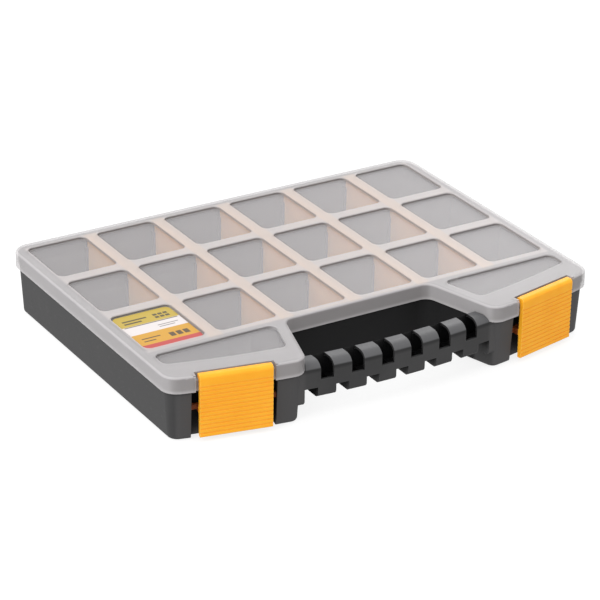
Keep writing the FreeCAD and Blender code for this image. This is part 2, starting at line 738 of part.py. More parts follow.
def lid():
    """The lid: skirt, rim, ribs and sunken panes, with latch pockets and hinge knuckles."""
    plan = flat("lid_plan", [case_outline(0)], "skirt_bottom")
    solid = raised("lid_block", plan, "skirt_height")
    outside = rounded("lid_rounded", solid, size.case_height, size.lid_edge_radius)
    inner_plan = flat("lid_inner_plan", [case_outline(size.lid_wall)], "skirt_bottom - overrun")
    inside = raised("lid_inside", inner_plan, "skirt_height - lid_wall + overrun")
    shell = cut("lid_shell", outside, inside)
    walls = joined("lid_walls", [shell, pane_blocks()] + latch_housing(LEFT) + latch_housing(RIGHT))
    rooms = joined("lid_rooms", latch_pocket(LEFT) + latch_pocket(RIGHT) + ear_clearances())
    windowed = cut("lid_windowed", walls, window_openings())
    inside_rim = Part.Face(case_outline((size.lid_edge_radius + size.notch_rim_width) / 2))
    softened = rounded("lid_softened", windowed, size.case_height, size.rib_edge_radius, inside_rim)
    opened = cut("lid_opened", softened, rooms)
    return joined("lid", [opened] + hinge_knuckles())


# Latches

def latch(side):
    """A rocker latch: grooved plate, hook over the lid ledge, lugs and trunnions."""
    name = f"latch_{SIDE_NAMES[side]}"
    frame = wing_frame(side)
    front, rear, tip = -size.latch_proud, size.plate_rear, size.ledge_front + size.hook_grip
    low, high = size.latch_bottom, size.case_height
    under = size.hook_bottom
    points = [(front, low), (rear, low), (rear, under), (tip, under), (tip, high), (front, high)]
    small = size.latch_edge_radius
    section = rounded_polygon(points, [small, small, -small, small, small, size.latch_crown_radius])
    face = doc.addObject("Part::Feature", name + "_section")
    face.Shape = Part.Face(section)
    face.Placement = frame * FreeCAD.Placement(FreeCAD.Vector(), SIDE_ON)
    plate = doc.addObject("Part::Extrusion", name + "_plate")
    plate.Base = face
    plate.DirMode = "Normal"
    plate.Symmetric = True
    plate.Solid = True
    bind(plate, LengthFwd="latch_width")
    grooves = [
        block(f"{name}_groove_{number + 1}", frame,
              (-size.latch_width / 2 - size.overrun, front - size.overrun,
               low + size.groove_start + number * size.groove_pitch),
              "latch_width + 2 * overrun", "groove_depth + overrun", "groove_height")
        for number in range(LATCH_GROOVES)
    ]
    lugs = [
        block(f"{name}_lug_{number}", frame,
              (x, rear - size.groove_depth, size.pivot_height - size.trunnion_radius), "lug_width",
              "pivot_setback - plate_rear + groove_depth", "2 * trunnion_radius")
        for number, x in enumerate((-size.latch_width / 2, size.latch_width / 2 - size.lug_width), 1)
    ]
    start = (-size.trunnion_half_length, size.pivot_setback, size.pivot_height)
    trunnions = rod(f"{name}_trunnions", frame, start, "trunnion_radius", "2 * trunnion_half_length")
    grooved = cut(f"{name}_grooved", plate, joined(f"{name}_grooves", grooves))
    return joined(name, [grooved, trunnions] + lugs)


# Flat plates drawn as sketches: the dividers and the label

def plate_body(name, plane, width, height, thickness):
    """A rectangular plate drawn on a plane, with the middle of its lower edge at the origin."""
    body = doc.addObject("PartDesign::Body", name)
    sketch = body.newObject("Sketcher::SketchObject", name + "_sketch")
    sketch.AttachmentSupport = [(next(p for p in body.Origin.OriginFeatures if p.Role == plane), "")]
    sketch.MapMode = "FlatFace"
    half = size.divider_height
    corners = [FreeCAD.Vector(x, y, 0) for x, y in ((-half, 0), (half, 0), (half, half), (-half, half))]
    for number, corner in enumerate(corners):
        sketch.addGeometry(Part.LineSegment(corner, corners[(number + 1) % len(corners)]), False)
    for number in range(len(corners)):
        sketch.addConstraint(Sketcher.Constraint("Coincident", number, 2, (number + 1) % len(corners), 1))
    for number, direction in enumerate(("Horizontal", "Vertical", "Horizontal", "Vertical")):
        sketch.addConstraint(Sketcher.Constraint(direction, number))
    sketch.addConstraint(Sketcher.Constraint("Symmetric", 0, 1, 0, 2, -1, 1))
    wide = sketch.addConstraint(Sketcher.Constraint("DistanceX", 0, 1, 0, 2, 2 * half))
    high = sketch.addConstraint(Sketcher.Constraint("DistanceY", 1, 1, 1, 2, half))
    sketch.setExpression(f"Constraints[{wide}]", formula(width))
    sketch.setExpression(f"Constraints[{high}]", formula(height))
    pad = body.newObject("PartDesign::Pad", name + "_pad")
    pad.Profile = sketch
    pad.SideType = "Symmetric"
    bind(pad, Length=thickness)
    return body, pad


def round_edges(body, pad, chosen, radius):
    """Round the edges of a plate that pass a test."""
    doc.recompute()
    names = [f"Edge{number}" for number, edge in enumerate(pad.Shape.Edges, 1) if chosen(edge)]
    fillet = body.newObject("PartDesign::Fillet", pad.Name + "_round")
    fillet.Base = (pad, names)
    bind(fillet, Radius=radius)
    return body


def divider(row, column):
    """A removable divider with rounded top corners, between the walls of its row."""
    front, rear = row_name(row) + "_front", row_name(row) + "_rear"
    length = f"{rear} - {front} - 2 * divider_end_clearance"
    name = f"divider_r{row + 1}c{column + 1}"
    body, pad = plate_body(name, "YZ_Plane", length, "divider_height", "divider_thickness")
    bind(body, Placement__Base__x=divider_place(column), Placement__Base__y=f"({front} + {rear}) / 2",
         Placement__Base__z="floor_thickness")

    def across_top(edge):
        low, high = edge.BoundBox.ZMin, edge.BoundBox.ZMax
        return low > size.divider_height / 2 and math.isclose(low, high, abs_tol=LEVEL_TOLERANCE) \
            and edge.BoundBox.XLength > edge.BoundBox.YLength

    return round_edges(body, pad, across_top, "divider_corner_radius")


def label_card():
    """A printed label lying on the pane of the front window in the first column."""
    body, pad = plate_body("label_card", "XY_Plane", "window_width - 2 * label_margin",
                           "window_length - 2 * label_margin", "label_thickness")
    bind(body, Placement__Base__x="rim_width + window_width / 2 - half_width",
         Placement__Base__y="notch_edge + notch_rim_width + label_margin",
         Placement__Base__z="pane_top + label_thickness / 2")

    def upright(edge):
        return edge.BoundBox.ZLength > edge.BoundBox.XLength + edge.BoundBox.YLength

    return round_edges(body, pad, upright, "window_radius - label_margin")


# The whole case

parts = [base_tray(), lid(), latch(LEFT), latch(RIGHT)]
parts += [divider(row, column) for row in range(ROWS) for column in range(COLUMNS - 1)]
parts.append(label_card())
doc.recompute()

for item in doc.Objects:
    if "Invalid" in item.State or "Error" in item.State:
        raise RuntimeError(f"{item.Label} could not be made: {item.State}")
for part in parts:
    if part.Shape.isNull() or not part.Shape.isValid() or len(part.Shape.Solids) != 1:
        raise RuntimeError(f"{part.Label} is not one sound solid")

os.makedirs("parts", exist_ok=True)
for part in parts:
    part.Shape.exportStep(f"parts/{part.Label}.step")
    print(part.Label, "volume", round(part.Shape.Volume), "mm3")
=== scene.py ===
"""Finishes and studio stage for the hardware organizer case, laid out as a Blender add-on."""

import json
import math

import bpy
from mathutils import Matrix, Vector


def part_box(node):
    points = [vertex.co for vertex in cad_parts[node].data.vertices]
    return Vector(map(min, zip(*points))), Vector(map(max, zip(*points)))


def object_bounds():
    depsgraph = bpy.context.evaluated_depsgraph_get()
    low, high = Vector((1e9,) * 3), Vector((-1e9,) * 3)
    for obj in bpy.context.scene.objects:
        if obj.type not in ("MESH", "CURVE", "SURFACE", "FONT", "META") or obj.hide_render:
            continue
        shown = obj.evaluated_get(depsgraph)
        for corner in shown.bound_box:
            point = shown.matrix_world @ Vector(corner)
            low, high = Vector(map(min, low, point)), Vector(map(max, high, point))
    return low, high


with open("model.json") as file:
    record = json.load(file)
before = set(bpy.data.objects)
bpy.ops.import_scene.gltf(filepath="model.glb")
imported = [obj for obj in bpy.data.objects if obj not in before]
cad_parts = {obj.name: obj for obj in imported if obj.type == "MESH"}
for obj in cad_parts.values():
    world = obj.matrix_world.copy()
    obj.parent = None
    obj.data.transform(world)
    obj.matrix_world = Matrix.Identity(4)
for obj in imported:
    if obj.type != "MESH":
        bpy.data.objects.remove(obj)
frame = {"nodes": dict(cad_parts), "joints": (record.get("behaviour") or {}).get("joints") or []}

bl_info = {
    "name": "Hardware Organizer Case",
    "version": (1, 0, 0),
    "blender": (4, 5, 0),
    "location": "3D View > Sidebar > Organizer",
    "description": "Moulded finishes, printed label and studio stage for a lidded organizer case",
    "category": "3D View",
}

CAD_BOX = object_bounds()

DIVIDER_NODES = sorted(n for n in frame["nodes"] if n.startswith("divider_"))
LATCH_NODES = ["latch_left", "latch_right"]
CARD_LOW, CARD_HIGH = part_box("label_card")

# Heights in metres, measured down from the top of the lid
LID_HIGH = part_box("lid")[1]
RIB_EDGE = LID_HIGH.z - 0.0009
PANE_TOP = LID_HIGH.z - 0.0020
PANE_UNDER = LID_HIGH.z - 0.0036
LID_SKIRT = LID_HIGH.z - 0.0118
GRIP_BROW = LID_HIGH.z - 0.0121

# Plan of the lid's windows, in metres from the centre line and along the case
ROWS_HALF = 0.1585
WING_INNER = 0.079
WING_OUTER = 0.158
WING_FRONT = -0.100
WING_REAR = -0.061

# Plan of the notch, the handle and the posts beside the notch
NOTCH_HALF = 0.0812
NOTCH_REAR = -0.0595
HANDLE_REAR = -0.102
GRIP_HALF = 0.079
GRIP_REAR = CAD_BOX[0].y + 0.024
POST_INNER = 0.072

# The bowed front is an arc about a point on the centre line, well behind the case
BOW_RADIUS = 0.590
BOW_CENTRE = 0.4635
RECESS_REAR = BOW_RADIUS - 0.0118
RECESS_FRONT = BOW_RADIUS - 0.0056

# The right latch's pivot, and the level direction out of its front
PIVOT_JOINT = next(j for j in frame["joints"] if j["name"] == "latch_right_pivot")
PIVOT = Vector(PIVOT_JOINT["pos_m"])
PIVOT_OUT = Vector((abs(PIVOT_JOINT["axis"][1]), -abs(PIVOT_JOINT["axis"][0]), 0))
LUG_FRONT = 0.0055

# Refraction of the plastics and of the card
PLASTIC_IOR = 1.49
CARD_IOR = 1.47


def divider_centres(row):
    """Middle x of each divider in one row, from left to right."""
    names = [n for n in DIVIDER_NODES if n.startswith("divider_" + row)]
    return [(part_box(n)[0].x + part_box(n)[1].x) / 2 for n in names]


COLUMN_PITCH = divider_centres("r1")[1] - divider_centres("r1")[0]
RIB_SPAN = 2.5 * COLUMN_PITCH
REAR_ROW_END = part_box("divider_r1c1")[1].y
FRONT_ROW_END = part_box("divider_r3c1")[0].y


# Settings a user would change

def colour(name, description, default):
    """A colour property with its swatch."""
    return bpy.props.FloatVectorProperty(
        name=name, description=description, default=default,
        size=3, min=0, max=1, subtype="COLOR")


def share(name, description, default):
    """A property from none to all."""
    return bpy.props.FloatProperty(
        name=name, description=description, default=default, min=0, max=1, subtype="FACTOR")


def length(name, description, default):
    """A length property, kept in metres."""
    return bpy.props.FloatProperty(
        name=name, description=description, default=default,
        min=0, precision=5, subtype="DISTANCE", unit="LENGTH")


class OrganizerTraySettings(bpy.types.PropertyGroup):
    """Finish of the dark moulded tray."""

    tone: colour("Tray colour", "Colour of the matt moulded tray", (0.0385, 0.0378, 0.0387))
    # Painted light: a paler colour on the tray's front faces outside the handle, standing in for
    # light from the front
    front: colour("Front colour", "Paler, rubbed colour on the front of the tray",
                  (0.060, 0.058, 0.059))
    worn: colour("Worn colour", "Paler colour on rubbed edges", (0.11, 0.11, 0.113))
    # Painted sheen: a paler colour on the level tops of the handle, standing in for light glancing
    # off them
    grip_sheen: colour("Grip colour", "Paler colour on the hand-polished top of the handle",
                     (0.095, 0.095, 0.099))
    # Painted shade: the dark tone painted into the notch, the recesses and the band below the skirt
    painted_shade_tone: colour("Hollow colour", "Dull dark colour deep in the hollows", (0.006, 0.006, 0.0065))
    grain: length("Grain", "Spacing of the moulded grain", 0.00055)
    wear_and_highlight: share("Edge wear", "How far the edges are rubbed", 0.35)
    # Painted shade: how far the occlusion reaches that darkens the tray's colour
    reach: length("Hollow reach", "How near other walls are where the tray stays dull", 0.055)


class OrganizerLidSettings(bpy.types.PropertyGroup):
    """Finish of the milky lid."""

    tone: colour("Lid colour", "Colour of the milky rim and skirt", (0.55, 0.53, 0.535))
    ribs: colour("Rib colour", "Colour of the ribs between the rows", (0.63, 0.585, 0.578))
    clear: colour("Pane colour", "Colour of the thin panes", (0.74, 0.715, 0.725))
    warm: colour("Warm cast", "Colour of the ribs above the dividers", (0.68, 0.59, 0.54))
    # Painted highlight on the lid's rounded shoulder and the skirt's lower edge
    bright: colour("Bright edge", "Colour of the rounded shoulder and the skirt's lower edge",
                   (0.74, 0.71, 0.72))
    # Painted shade on the walls of the window recesses, darker on their rear walls
    recess: colour("Recess colour", "Duller colour on the walls of the window recesses",
                   (0.50, 0.46, 0.44))
    shaded: colour("Rear wall colour", "Dark colour on the rear walls of the window recesses",
                   (0.30, 0.28, 0.275))
    pane: share("Pane haze", "How much each face of a pane hides at the left", 0.235)
    # The panes grow hazier from left to right
    right_haze: share("Scuffed haze", "How much each face of a pane hides at the right", 0.285)
    rib: share("Rib haze", "How much each face of a rib hides", 0.62)
    rim: share("Rim haze", "How much each face of the outer rim hides", 0.50)
    skirt: share("Skirt haze", "How much each face of the skirt hides", 0.50)
    # Painted shade on the skirt's front faces
    front: colour("Front colour", "Duller colour on the skirt's front", (0.43, 0.41, 0.41))
    rib_width: length("Rib width", "Width of the ribs above the dividers", 0.009)


class OrganizerLatchSettings(bpy.types.PropertyGroup):
    """Finish of the two amber latches."""

    tone: colour("Latch colour", "Colour of the satin latches", (1.0, 0.45, 0.020))
    # Painted highlight along the latches' edges
    bright: colour("Bright edge", "Paler colour on the latches' edges", (1.0, 0.62, 0.14))
    deep: colour("Deep colour", "Deeper colour in the mottling", (0.97, 0.40, 0.012))
    # Painted shade down in the grip grooves
    groove_shade: colour("Groove colour", "Dull colour down in the grip grooves", (0.90, 0.35, 0.012))
    # Painted shade on the lugs and trunnions behind the latch plate
    pivot: colour("Pivot colour", "Darker, greasy colour of the lugs and trunnions",
                  (0.16, 0.035, 0.006))
    # Strength of the painted highlight along the latches' edges
    wear_and_highlight: share("Edge brightness", "How far the edges pale", 0.6)
    # Size of the painted shade round the trunnions
    pivot_reach: length("Pivot reach", "Room around the trunnions that is greasy", 0.0075)


class OrganizerDividerSettings(bpy.types.PropertyGroup):
    """Finish of the loose dividers."""

    tone: colour("Divider colour", "Colour of the loose dividers", (0.90, 0.47, 0.16))
    shade: colour("Mottle colour", "Slightly deeper colour in the mottling", (0.85, 0.41, 0.12))


class OrganizerLabelSettings(bpy.types.PropertyGroup):
    """Print on the label card."""

    header: colour("Header", "Colour of the header band", (0.46, 0.33, 0.045))
    paper: colour("Paper", "Colour of the bare card", (0.66, 0.61, 0.60))
    body: colour("Body band", "Colour of the lower band", (0.56, 0.29, 0.025))
    footer: colour("Footer", "Colour of the footer band", (0.45, 0.055, 0.05))
    ink: colour("Ink", "Colour of the bars and squares", (0.030, 0.026, 0.022))


class OrganizerStageSettings(bpy.types.PropertyGroup):
    """Camera, floor and lights."""

    eye: bpy.props.FloatVectorProperty(
        name="Camera place", description="Where the camera stands",
        default=(-0.853, -1.388, 0.8074), size=3, precision=4, subtype="TRANSLATION", unit="LENGTH")
    target: bpy.props.FloatVectorProperty(
        name="Camera target", description="Point in the middle of the picture",
        default=(-0.0317, -0.0436, 0.0459), size=3, precision=4,
        subtype="TRANSLATION", unit="LENGTH")
    roll: bpy.props.FloatProperty(
        name="Camera roll", description="Turn of the camera about its own line of sight",
        default=math.radians(0.80), subtype="ANGLE", unit="ROTATION")
    lens: bpy.props.FloatProperty(
        name="Lens", description="Focal length on a 36 mm wide sensor",
        default=156.8, min=10, subtype="DISTANCE_CAMERA", unit="CAMERA")
    floor: colour("Floor colour", "Colour of the pale floor", (0.25, 0.25, 0.25))
    sky: bpy.props.FloatProperty(
        name="Bright side", description="Strength of the soft light from above and behind",
        default=1.34, min=0)
    shade: bpy.props.FloatProperty(
        name="Dim side", description="Strength of the soft light from below and in front",
        default=0.50, min=0)
    key: bpy.props.FloatProperty(
        name="Left softbox", description="Power of the large softbox at the left",
        default=11.0, min=0, subtype="POWER", unit="POWER")
    rim_light: bpy.props.FloatProperty(
        name="Rear softbox", description="Power of the softbox behind the case at the right",
        default=5.0, min=0, subtype="POWER", unit="POWER")


# Small helpers for shader nodes

def feed(tree, socket, value):
    """Link a socket, or set it when a plain value is given."""
    if isinstance(value, bpy.types.NodeSocket):
        tree.links.new(value, socket)
    else:
        socket.default_value = value


def calc(tree, operation, first, second=0.0, third=0.0, clamp=False):
    """One step of arithmetic."""
    item = tree.nodes.new("ShaderNodeMath")
    item.operation = operation
    item.use_clamp = clamp
    for socket, value in zip(item.inputs, (first, second, third)):
        feed(tree, socket, value)
    return item.outputs[0]


def ramp(tree, source, low, high, start=0.0, end=1.0):
    """Smooth step from start to end as the source goes from low to high."""
    item = tree.nodes.new("ShaderNodeMapRange")
    item.interpolation_type = "SMOOTHSTEP"
    values = (source, low, high, start, end)
    for name, value in zip(("Value", "From Min", "From Max", "To Min", "To Max"), values):
        feed(tree, item.inputs[name], value)
    return item.outputs["Result"]


def blend(tree, factor, first, second):
    """Mix two colours."""
    item = tree.nodes.new("ShaderNodeMix")
    item.data_type = "RGBA"
    feed(tree, item.inputs[0], factor)
    for socket, value in zip((item.inputs[6], item.inputs[7]), (first, second)):
        feed(tree, socket, value if isinstance(value, bpy.types.NodeSocket) else (*value, 1.0))
    return item.outputs[2]


def slide(tree, factor, first, second):
    """Mix two numbers."""
    item = tree.nodes.new("ShaderNodeMix")
    item.data_type = "FLOAT"
    for socket, value in zip(item.inputs[:1] + item.inputs[2:4], (factor, first, second)):
        feed(tree, socket, value)
    return item.outputs[0]


def place(tree):
    """Coordinates on the piece, in metres, that stay with it when it moves."""
    return tree.nodes.new("ShaderNodeTexCoord").outputs["Object"]


def axes(tree, vector):
    """Split a vector into its three numbers."""
    split = tree.nodes.new("ShaderNodeSeparateXYZ")
    tree.links.new(vector, split.inputs[0])
    return split.outputs[0], split.outputs[1], split.outputs[2]


def facing(tree):
    """How far a face looks to the rear, and how far it lies level, up or down."""
    _, rearward, upward = axes(tree, tree.nodes.new("ShaderNodeTexCoord").outputs["Normal"])
    return rearward, calc(tree, "ABSOLUTE", upward)


def stretched(tree, vector, scale, turn=0.0):
    """Coordinates squeezed and turned for streaks."""
    item = tree.nodes.new("ShaderNodeMapping")
    item.inputs["Scale"].default_value = scale
    item.inputs["Rotation"].default_value = (0.0, 0.0, turn)
    tree.links.new(vector, item.inputs["Vector"])
    return item.outputs[0]


def noise(tree, vector, spacing, detail=2.0, rough=0.5):
    """Cloudy noise whose lumps are about one spacing apart."""
    item = tree.nodes.new("ShaderNodeTexNoise")
    item.inputs["Scale"].default_value = 1.0 / spacing
    item.inputs["Detail"].default_value = detail
    item.inputs["Roughness"].default_value = rough
    tree.links.new(vector, item.inputs["Vector"])
    return item.outputs["Fac"]


def edge_mask(tree, radius):
    """One along sharp outer and inner edges, nothing on flat faces."""
    soft = tree.nodes.new("ShaderNodeBevel")
    soft.samples = 6
    soft.inputs["Radius"].default_value = radius
    flat = tree.nodes.new("ShaderNodeNewGeometry")
    turn = tree.nodes.new("ShaderNodeVectorMath")
    turn.operation = "DOT_PRODUCT"
    tree.links.new(soft.outputs[0], turn.inputs[0])
    tree.links.new(flat.outputs["Normal"], turn.inputs[1])
    return ramp(tree, turn.outputs["Value"], 0.995, 0.80)


def shelter(tree, reach, low, high):
    """One deep in hollows and under overhangs within reach, nothing in the open."""
    item = tree.nodes.new("ShaderNodeAmbientOcclusion")
    item.samples = 8
    item.inputs["Distance"].default_value = reach
    return ramp(tree, item.outputs["AO"], low, high, 1.0, 0.0)


def relief(tree, height, strength, distance):
    """Fine relief on the surface."""
    item = tree.nodes.new("ShaderNodeBump")
    item.inputs["Strength"].default_value = strength
    item.inputs["Distance"].default_value = distance
    tree.links.new(height, item.inputs["Height"])
    return item.outputs[0]


def both(tree, first, second):
    """One where two masks meet."""
    return calc(tree, "MULTIPLY", first, second)


def either(tree, first, second):
    """One where at least one of two masks lies."""
    return calc(tree, "MAXIMUM", first, second)


def neither(tree, mask):
    """One where a mask is nothing."""
    return calc(tree, "SUBTRACT", 1.0, mask)


def over(tree, source, limit, soft):
    """One where the source is over a limit, with a soft step."""
    return ramp(tree, source, limit - soft, limit + soft)


def under(tree, source, limit, soft):
    """One where the source is under a limit, with a soft step."""
    return ramp(tree, source, limit - soft, limit + soft, 1.0, 0.0)


def between(tree, source, low, high, soft):
    """One where the source lies from low to high, with soft sides."""
    return both(tree, over(tree, source, low, soft), under(tree, source, high, soft))


def mottle(tree, cloud):
    """Cloudy noise pulled to more contrast."""
    return ramp(tree, cloud, 0.3, 0.7)


def new_finish(name):
    """A material with only a surface shader and its output."""
    made = bpy.data.materials.new(name)
    made.use_nodes = True
    tree = made.node_tree
    tree.nodes.clear()
    surface = tree.nodes.new("ShaderNodeBsdfPrincipled")
    output = tree.nodes.new("ShaderNodeOutputMaterial")
    tree.links.new(surface.outputs[0], output.inputs["Surface"])
    return made, tree, surface


def wear_finish(nodes, finish):
    """Give CAD pieces their finish."""
    for name in nodes:
        piece = frame["nodes"][name]
        piece.data.materials.clear()
        piece.data.materials.append(finish)


# Finishes

def tray_shade(tree, chosen, across, along, height):
    """One where shade is painted on the tray: in the notch and the recesses, and just below the
    skirt.
    """
    step = 0.0002
    beside = calc(tree, "ABSOLUTE", across)
    out = calc(tree, "ADD", along, -BOW_CENTRE)
    out = calc(tree, "SQRT", calc(tree, "ADD", calc(tree, "MULTIPLY", out, out),
                                  calc(tree, "MULTIPLY", across, across)))
    recesses = between(tree, out, RECESS_REAR, RECESS_FRONT, step)
    notch = both(tree, under(tree, beside, NOTCH_HALF, step), under(tree, along, NOTCH_REAR, step))
    # Painted shade where ambient occlusion finds the notch and the recesses hidden from the light
    painted_shade = both(tree, either(tree, recesses, notch),
                shelter(tree, chosen.reach, low=0.30, high=0.88))
    # Painted shade on the notch's walls behind the handle
    walls = both(tree, notch, over(tree, along, HANDLE_REAR, soft=0.002))
    painted_shade = either(tree, painted_shade, calc(tree, "MULTIPLY", walls, 0.75))
    # Painted shadow in a band just below the skirt
    below = ramp(tree, height, LID_SKIRT - 0.0035, LID_SKIRT - step)
    return either(tree, painted_shade, calc(tree, "MULTIPLY", below, 0.45))


def tray_finish(chosen):
    """Matt grained plastic, mottled, with rubbed edges, a glossier grip with painted sheen, painted
    light on the front faces, and painted shade in the hollows and below the skirt.
    """
    finish, tree, surface = new_finish("matt_moulded_grain")
    spot = place(tree)
    across, along, height = axes(tree, spot)
    beside = calc(tree, "ABSOLUTE", across)
    rearward, level = facing(tree)
    cloud = noise(tree, spot, spacing=0.035, detail=4.0, rough=0.55)
    scuff = noise(tree, stretched(tree, spot, (1.0, 6.0, 9.0), 0.4),
                  spacing=0.02, detail=5.0, rough=0.65)
    rubbed = both(tree, edge_mask(tree, radius=0.0011), ramp(tree, scuff, 0.38, 0.62))
    rubbed = calc(tree, "MULTIPLY", rubbed, chosen.wear_and_highlight)
    deep = tuple(0.86 * c for c in chosen.tone)
    pale = tuple(1.14 * c for c in chosen.tone)
    body = blend(tree, mottle(tree, cloud), deep, pale)
    # Painted sheen: the handle's level tops get a paler colour; they are also made less rough
    grip = both(tree, ramp(tree, height, GRIP_BROW - 0.0004, GRIP_BROW + 0.0011),
                under(tree, along, GRIP_REAR, soft=0.001))
    grip = both(tree, grip, under(tree, beside, GRIP_HALF, soft=0.001))
    grip = both(tree, grip, ramp(tree, level, 0.25, 0.55))
    body = blend(tree, calc(tree, "MULTIPLY", grip, slide(tree, scuff, 0.7, 1.1), clamp=True),
                 body, chosen.grip_sheen)
    # Painted light: faces looking forward, outside the handle, are made paler
    front = both(tree, ramp(tree, rearward, -0.95, -0.70, 1.0, 0.0),
                 over(tree, beside, POST_INNER, soft=0.002))
    body = blend(tree, front, body, chosen.front)
    body = blend(tree, rubbed, body, chosen.worn)
    # Painted shade: the colour goes to the dark tone here, and the surface is made rougher and less
    # shiny
    painted_shade = both(tree, tray_shade(tree, chosen, across, along, height), neither(tree, grip))
    feed(tree, surface.inputs["Base Color"], blend(tree, painted_shade, body, chosen.painted_shade_tone))
    streak = ramp(tree, scuff, 0.55, 0.72)
    rough = slide(tree, mottle(tree, cloud), 0.50, 0.60)
    rough = calc(tree, "MULTIPLY_ADD", grip, -0.10, rough)
    rough = calc(tree, "MULTIPLY_ADD", painted_shade, 0.25, rough)
    feed(tree, surface.inputs["Roughness"], calc(tree, "MULTIPLY_ADD", streak, -0.08, rough))
    grain = noise(tree, spot, chosen.grain, detail=3.0, rough=0.6)
    feed(tree, surface.inputs["Normal"], relief(tree, grain, strength=0.22, distance=0.00012))
    # Painted shade also takes the shine off
    feed(tree, surface.inputs["Specular IOR Level"], slide(tree, painted_shade, 0.40, 0.10))
    surface.inputs["IOR"].default_value = PLASTIC_IOR
    return finish


def lid_haze(tree, chosen, spot):
    """How much each part of the lid hides, where it is clear or warm, and where highlight and shade
    are painted on it.
    """
    across, along, height = axes(tree, spot)
    beside = calc(tree, "ABSOLUTE", across)
    rearward, tilt = facing(tree)
    level = ramp(tree, tilt, 0.45, 0.8)
    steep = neither(tree, level)
    # Panes, ribs and rim, by height
    over_pane = over(tree, height, PANE_TOP + 0.0002, soft=0.0001)
    above_under = over(tree, height, PANE_UNDER - 0.0003, soft=0.0001)
    pane = both(tree, level, calc(tree, "SUBTRACT", above_under, over_pane))
    upper = both(tree, level, over_pane)
    inside = both(tree, under(tree, beside, RIB_SPAN + 0.0235, soft=0.0015),
                  between(tree, along, FRONT_ROW_END - 0.006, REAR_ROW_END - 0.001, soft=0.0015))
    hides = slide(tree, upper, chosen.skirt, slide(tree, inside, chosen.rim, chosen.rib))
    # The panes grow hazier from left to right
    right_haze = slide(tree, ramp(tree, across, -0.15, 0.15), chosen.pane, chosen.right_haze)
    hides = slide(tree, pane, hides, right_haze)
    ribs = both(tree, inside, upper)
    # Ribs above the dividers
    half = chosen.rib_width / 2
    warm = ramp(tree, calc(tree, "PINGPONG", across, COLUMN_PITCH / 2),
                half - 0.0006, half + 0.0012, 1.0, 0.0)
    in_span = ramp(tree, beside, 2.3 * COLUMN_PITCH, RIB_SPAN, 1.0, 0.0)
    warm = both(tree, warm, both(tree, in_span, ribs))
    # Painted shade on the walls of the window recesses, darker on the ones at their rear
    wings = both(tree, between(tree, beside, WING_INNER, WING_OUTER, soft=0.0005),
                 between(tree, along, WING_FRONT, WING_REAR, soft=0.0005))
    rows = both(tree, under(tree, beside, ROWS_HALF, soft=0.0005),
                over(tree, along, WING_REAR, soft=0.0005))
    windows = either(tree, wings, rows)
    wall = both(tree, between(tree, height, PANE_TOP - 0.0002, RIB_EDGE, soft=0.0002), windows)
    # Painted shade on the recess walls
    recess = both(tree, steep, wall)
    shaded = both(tree, recess, ramp(tree, rearward, -0.85, -0.35, 1.0, 0.0))
    # Painted highlight on the outer shoulder and the skirt's lower edge, and painted shade on the
    # skirt's front
    outside = neither(tree, windows)
    shoulder = both(tree, ramp(tree, tilt, 0.15, 0.5), ramp(tree, tilt, 0.75, 0.98, 1.0, 0.0))
    shoulder = both(tree, shoulder, ramp(tree, height, PANE_TOP - 0.0008, PANE_TOP))
    shoulder = both(tree, shoulder, calc(tree, "MULTIPLY", outside, 0.6))
    # Painted shade on the skirt's front faces
    front = both(tree, both(tree, steep, outside), ramp(tree, rearward, -0.9, -0.5, 1.0, 0.0))
    lip = ramp(tree, height, LID_SKIRT, LID_SKIRT + 0.0028, 1.0, 0.0)
    bright = either(tree, shoulder, calc(tree, "MULTIPLY", lip, 0.5))
    return hides, {"pane": pane, "ribs": ribs, "warm": warm, "recess": recess,
                   "shaded": shaded, "front": front, "bright": bright}


